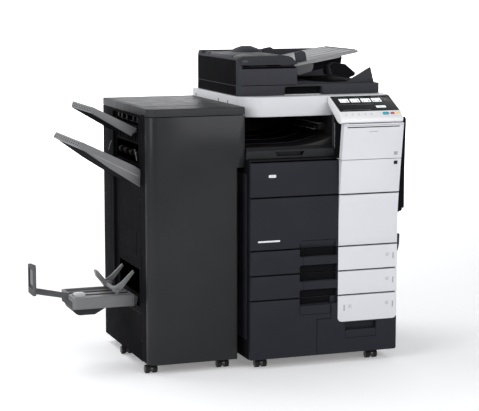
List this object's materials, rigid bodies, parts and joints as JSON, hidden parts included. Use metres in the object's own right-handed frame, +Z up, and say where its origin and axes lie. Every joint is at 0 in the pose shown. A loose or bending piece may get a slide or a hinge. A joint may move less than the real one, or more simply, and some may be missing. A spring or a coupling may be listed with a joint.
{
  "type": "photocopier",
  "caption": "Floor-standing multifunction copier with paper drawers, tilting touch panel and document feeder, joined to a stapling and booklet finisher with sloping trays.",
  "frame": {"origin": "on the floor, under the middle of the whole machine's bounding box", "axes": "+X to the machine's right as a user faces it, +Y from the front to the back, +Z up"},
  "size_m": [1.51, 0.8016, 1.29],
  "materials": {
    "charcoal": "fine moulded grain, satin",
    "blue_black": "fine moulded grain, satin",
    "inner_black": "satin black paint",
    "shell_white": "fine moulded grain, satin",
    "scanner_grey": "fine moulded grain, satin",
    "tray_grey": "moulded grain, satin",
    "feeder_charcoal": "fine moulded grain, satin",
    "screen": "glossy dark screen",
    "start_key": "glossy",
    "stop_key": "glossy",
    "platen": "clear glass",
    "steel": "brushed",
    "drum": "glossy",
    "toner": "matt",
    "rubber": "matt rubber"
  },
  "bodies": {
    "machine": {"main_frame": "inner_black", "left_cover": "blue_black", "right_cover": "charcoal", "rear_cover": "charcoal", "output_tray": "blue_black", "output_tray_cover": "charcoal", "exit_unit": "charcoal", "scanner_housing": "scanner_grey", "platen_glass": "platen", "column_cover": "shell_white", "fuser_unit": "steel", "drum_unit": "drum", "toner_bottles": "toner", "side_unit": "charcoal", "finisher_body": "charcoal", "finisher_top_cover": "charcoal", "upper_tray": "tray_grey", "booklet_tray": "tray_grey"},
    "scan_carriage": {"scan_carriage": "steel"},
    "panel": {"panel_housing": "shell_white", "touch_screen": "screen"},
    "start_key": {"start_key": "start_key"},
    "stop_key": {"stop_key": "stop_key"},
    "feeder": {"feeder_base": "feeder_charcoal", "feeder_body": "feeder_charcoal"},
    "feeder_cover": {"feeder_cover": "feeder_charcoal"},
    "feeder_tray": {"feeder_tray": "feeder_charcoal"},
    "guide_front": {"guide_front": "feeder_charcoal"},
    "guide_rear": {"guide_rear": "feeder_charcoal"},
    "feed_roller": {"feed_roller": "rubber"},
    "upper_door": {"upper_door": "blue_black", "upper_door_panel": "shell_white"},
    "lower_door": {"lower_door": "blue_black", "lower_door_panel": "shell_white"},
    "drawer_1": {"drawer_1": "blue_black", "drawer_1_panel": "shell_white"},
    "drawer_2": {"drawer_2": "blue_black", "drawer_2_panel": "shell_white"},
    "drawer_3": {"drawer_3": "blue_black"},
    "drawer_4": {"drawer_4": "blue_black", "drawer_4_panel": "shell_white"},
    "bypass_tray": {"bypass_tray": "charcoal"},
    "side_lever": {"side_lever": "charcoal"},
    "finisher_door": {"finisher_door": "charcoal"},
    "main_tray": {"main_tray": "tray_grey"},
    "booklet_stopper": {"booklet_stopper": "tray_grey"},
    "booklet_paddles": {"booklet_paddles": "tray_grey"},
    "exit_rollers": {"exit_rollers": "rubber"},
    "main_caster_left": {"main_caster_left": "inner_black"},
    "main_wheels_left": {"main_wheels_left": "rubber"},
    "main_caster_right": {"main_caster_right": "inner_black"},
    "main_wheels_right": {"main_wheels_right": "rubber"},
    "main_wheels_rear_left": {"main_wheels_rear_left": "rubber"},
    "main_wheels_rear_right": {"main_wheels_rear_right": "rubber"},
    "fin_caster_left": {"fin_caster_left": "inner_black"},
    "fin_wheels_left": {"fin_wheels_left": "rubber"},
    "fin_caster_right": {"fin_caster_right": "inner_black"},
    "fin_wheels_right": {"fin_wheels_right": "rubber"},
    "fin_wheels_rear_left": {"fin_wheels_rear_left": "rubber"},
    "fin_wheels_rear_right": {"fin_wheels_rear_right": "rubber"}
  },
  "joints": [
    {"name": "scan_carriage_slide", "type": "slide", "parent": "machine", "child": "scan_carriage", "axis": [1, 0, 0], "range_m": [0, 0.48]},
    {"name": "panel_tilt", "type": "hinge", "parent": "machine", "child": "panel", "pos_m": [0.579, -0.38522, 1.013], "axis": [1, 0, 0], "range_deg": [0, 25]},
    {"name": "start_key_press", "type": "slide", "parent": "panel", "child": "start_key", "axis": [0, 0.7229, -0.691], "range_m": [0, 0.0015], "stiffness_N_per_m": 300},
    {"name": "stop_key_press", "type": "slide", "parent": "panel", "child": "stop_key", "axis": [0, 0.7229, -0.691], "range_m": [0, 0.0015], "stiffness_N_per_m": 300},
    {"name": "feeder_lift", "type": "hinge", "parent": "machine", "child": "feeder", "pos_m": [0.396, 0.38677, 1.121], "axis": [-1, 0, 0], "range_deg": [0, 60]},
    {"name": "feeder_cover_open", "type": "hinge", "parent": "feeder", "child": "feeder_cover", "pos_m": [0.105, 0.04877, 1.2444], "axis": [0, -1, 0], "range_deg": [0, 60]},
    {"name": "feeder_tray_fold", "type": "hinge", "parent": "feeder", "child": "feeder_tray", "pos_m": [0.347, 0.05378, 1.222], "axis": [0, -1, 0], "range_deg": [0, 15]},
    {"name": "guide_front_slide", "type": "slide", "parent": "feeder_tray", "child": "guide_front", "axis": [0, 1, 0], "range_m": [0, 0.13]},
    {"name": "guide_rear_slide", "type": "slide", "parent": "feeder_tray", "child": "guide_rear", "axis": [0, 1, 0], "range_m": [-0.13, 0]},
    {"name": "feed_roller_turn", "type": "hinge", "parent": "feeder", "child": "feed_roller", "pos_m": [0.303, 0.06878, 1.212], "axis": [0, 1, 0], "continuous": true},
    {"name": "upper_door_open", "type": "hinge", "parent": "machine", "child": "upper_door", "pos_m": [0.396, -0.36123, 0.709], "axis": [1, 0, 0], "range_deg": [0, 80]},
    {"name": "lower_door_open", "type": "hinge", "parent": "machine", "child": "lower_door", "pos_m": [0.075, -0.34723, 0.598], "axis": [0, 0, -1], "range_deg": [0, 90]},
    {"name": "drawer_1_slide", "type": "slide", "parent": "machine", "child": "drawer_1", "axis": [0, -1, 0], "range_m": [0, 0.45]},
    {"name": "drawer_2_slide", "type": "slide", "parent": "machine", "child": "drawer_2", "axis": [0, -1, 0], "range_m": [0, 0.45]},
    {"name": "drawer_3_slide", "type": "slide", "parent": "machine", "child": "drawer_3", "axis": [0, -1, 0], "range_m": [0, 0.45]},
    {"name": "drawer_4_slide", "type": "slide", "parent": "machine", "child": "drawer_4", "axis": [0, -1, 0], "range_m": [0, 0.45]},
    {"name": "bypass_tray_open", "type": "hinge", "parent": "machine", "child": "bypass_tray", "pos_m": [0.74, -0.09123, 0.652], "axis": [0, 1, 0], "range_deg": [0, 75]},
    {"name": "side_lever_turn", "type": "hinge", "parent": "machine", "child": "side_lever", "pos_m": [0.727, -0.31722, 0.468], "axis": [1, 0, 0], "range_deg": [0, 25], "stiffness_Nm_per_rad": 1},
    {"name": "finisher_door_open", "type": "hinge", "parent": "machine", "child": "finisher_door", "pos_m": [0.06, -0.28523, 0.93], "axis": [0, 0, 1], "range_deg": [0, 90]},
    {"name": "main_tray_lift", "type": "slide", "parent": "machine", "child": "main_tray", "axis": [0, 0, -1], "range_m": [0, 0.3]},
    {"name": "booklet_stopper_fold", "type": "hinge", "parent": "machine", "child": "booklet_stopper", "pos_m": [-0.601, -0.02123, 0.297], "axis": [0, 1, 0], "range_deg": [0, 90]},
    {"name": "booklet_paddles_lift", "type": "hinge", "parent": "machine", "child": "booklet_paddles", "pos_m": [-0.417, -0.01123, 0.318], "axis": [0, -1, 0], "range_deg": [0, 30]},
    {"name": "exit_rollers_turn", "type": "hinge", "parent": "machine", "child": "exit_rollers", "pos_m": [-0.315, 0.02877, 0.872], "axis": [0, 1, 0], "continuous": true},
    {"name": "main_caster_left_swivel", "type": "hinge", "parent": "machine", "child": "main_caster_left", "pos_m": [0.134, -0.30423, 0.041], "axis": [0, 0, 1], "continuous": true},
    {"name": "main_caster_right_swivel", "type": "hinge", "parent": "machine", "child": "main_caster_right", "pos_m": [0.629, -0.30423, 0.041], "axis": [0, 0, 1], "continuous": true},
    {"name": "fin_caster_left_swivel", "type": "hinge", "parent": "machine", "child": "fin_caster_left", "pos_m": [-0.317, -0.24923, 0.038], "axis": [0, 0, 1], "continuous": true},
    {"name": "fin_caster_right_swivel", "type": "hinge", "parent": "machine", "child": "fin_caster_right", "pos_m": [-0.013, -0.25322, 0.038], "axis": [0, 0, 1], "continuous": true},
    {"name": "main_wheels_left_roll", "type": "hinge", "parent": "main_caster_left", "child": "main_wheels_left", "pos_m": [0.134, -0.29523, 0.0175], "axis": [1, 0, 0], "continuous": true},
    {"name": "main_wheels_right_roll", "type": "hinge", "parent": "main_caster_right", "child": "main_wheels_right", "pos_m": [0.629, -0.29523, 0.0175], "axis": [1, 0, 0], "continuous": true},
    {"name": "main_wheels_rear_left_roll", "type": "hinge", "parent": "machine", "child": "main_wheels_rear_left", "pos_m": [0.134, 0.34778, 0.0175], "axis": [1, 0, 0], "continuous": true},
    {"name": "main_wheels_rear_right_roll", "type": "hinge", "parent": "machine", "child": "main_wheels_rear_right", "pos_m": [0.629, 0.34778, 0.0175], "axis": [1, 0, 0], "continuous": true},
    {"name": "fin_wheels_left_roll", "type": "hinge", "parent": "fin_caster_left", "child": "fin_wheels_left", "pos_m": [-0.317, -0.24022, 0.0175], "axis": [1, 0, 0], "continuous": true},
    {"name": "fin_wheels_right_roll", "type": "hinge", "parent": "fin_caster_right", "child": "fin_wheels_right", "pos_m": [-0.013, -0.24422, 0.0175], "axis": [1, 0, 0], "continuous": true},
    {"name": "fin_wheels_rear_left_roll", "type": "hinge", "parent": "machine", "child": "fin_wheels_rear_left", "pos_m": [-0.317, 0.11578, 0.0175], "axis": [1, 0, 0], "continuous": true},
    {"name": "fin_wheels_rear_right_roll", "type": "hinge", "parent": "machine", "child": "fin_wheels_rear_right", "pos_m": [-0.013, 0.11578, 0.0175], "axis": [1, 0, 0], "continuous": true}
  ],
  "couplings": [
    {"joint": "guide_rear_slide", "follows": "guide_front_slide", "ratio": -1}
  ]
}
